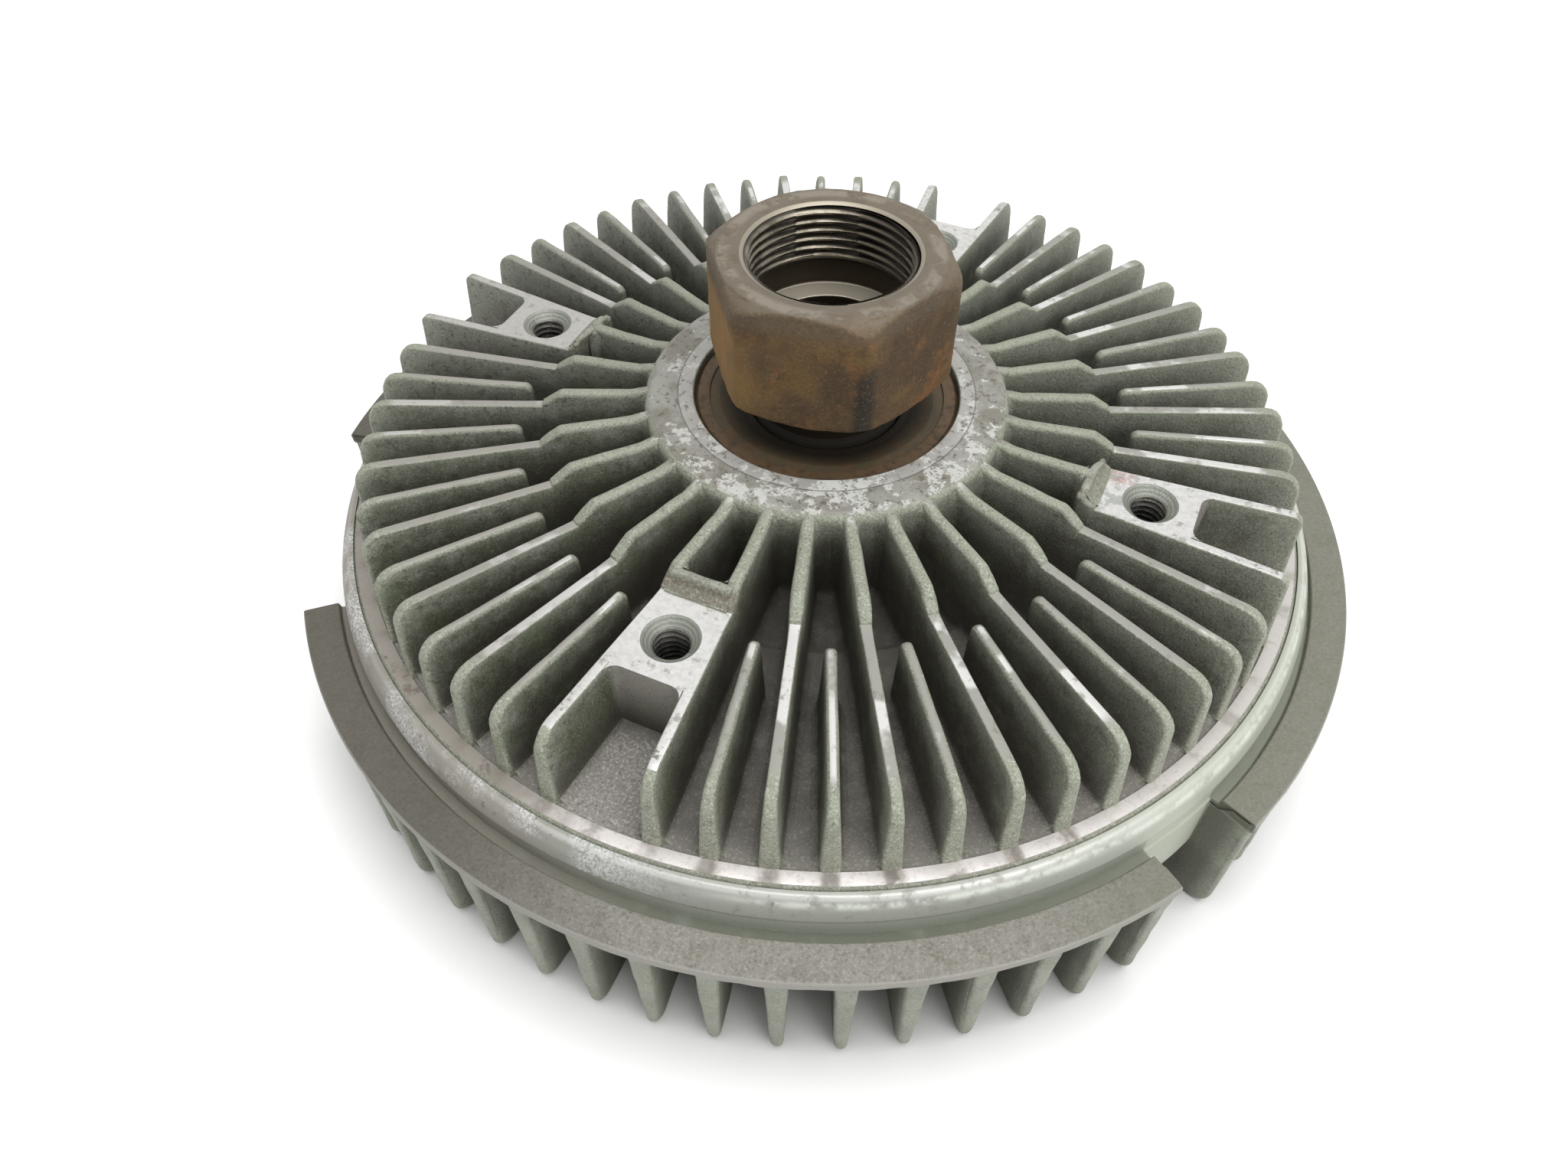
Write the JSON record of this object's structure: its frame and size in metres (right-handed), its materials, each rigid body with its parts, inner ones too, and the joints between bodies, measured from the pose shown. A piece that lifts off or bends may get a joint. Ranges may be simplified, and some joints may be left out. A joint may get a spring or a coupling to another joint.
{
  "type": "viscous fan clutch",
  "caption": "Finned viscous fan clutch with a hexagon drive nut and threaded socket, fan bosses on its rear fins and a bimetal-driven valve inside.",
  "frame": {"origin": "on the shaft's axis, at the tips of the front fins that it stands on", "axes": "+Z along the shaft towards the drive nut; +X and +Y each through one of the four fan bosses"},
  "size_m": [0.166, 0.166, 0.0711],
  "materials": {
    "cast_aluminium": "as cast, machined on the fan seat, the lip and the band, stained",
    "rotor_aluminium": "turned",
    "rusty_steel": "rusted brown",
    "bearing_steel": "ground",
    "plate_steel": "zinc plated sheet",
    "bimetal": "rolled strip",
    "seal_rubber": "matt"
  },
  "bodies": {
    "housing": {"rear_body": "cast_aluminium", "front_cover": "cast_aluminium", "cover_seal_ring": "seal_rubber", "separator_plate": "plate_steel", "bearing_outer_ring": "rusty_steel", "bearing_rear_shield": "rusty_steel", "bearing_front_shield": "bearing_steel", "valve_shaft_seal": "seal_rubber", "bimetal_coil": "bimetal"},
    "drive": {"input_shaft": "rusty_steel", "bearing_inner_ring": "bearing_steel", "rotor_disc": "rotor_aluminium"},
    "ball_set": {"bearing_cage": "plate_steel", "bearing_ball_1": "bearing_steel", "bearing_ball_2": "bearing_steel", "bearing_ball_3": "bearing_steel", "bearing_ball_4": "bearing_steel", "bearing_ball_5": "bearing_steel", "bearing_ball_6": "bearing_steel", "bearing_ball_7": "bearing_steel", "bearing_ball_8": "bearing_steel"},
    "valve": {"valve_shaft": "bearing_steel", "valve_arm": "plate_steel", "valve_clip": "plate_steel"}
  },
  "joints": [
    {"name": "shaft_spin", "type": "hinge", "parent": "housing", "child": "drive", "pos_m": [0, 0, 0.0408], "axis": [0, 0, 1], "continuous": true},
    {"name": "cage_spin", "type": "hinge", "parent": "housing", "child": "ball_set", "pos_m": [0, 0, 0.0408], "axis": [0, 0, 1], "continuous": true},
    {"name": "valve_turn", "type": "hinge", "parent": "housing", "child": "valve", "pos_m": [0, 0, 0.012], "axis": [0, 0, 1], "range_deg": [0, 28], "deforming": ["bimetal_coil"]}
  ],
  "couplings": [
    {"joint": "cage_spin", "follows": "shaft_spin", "ratio": 0.38596}
  ]
}
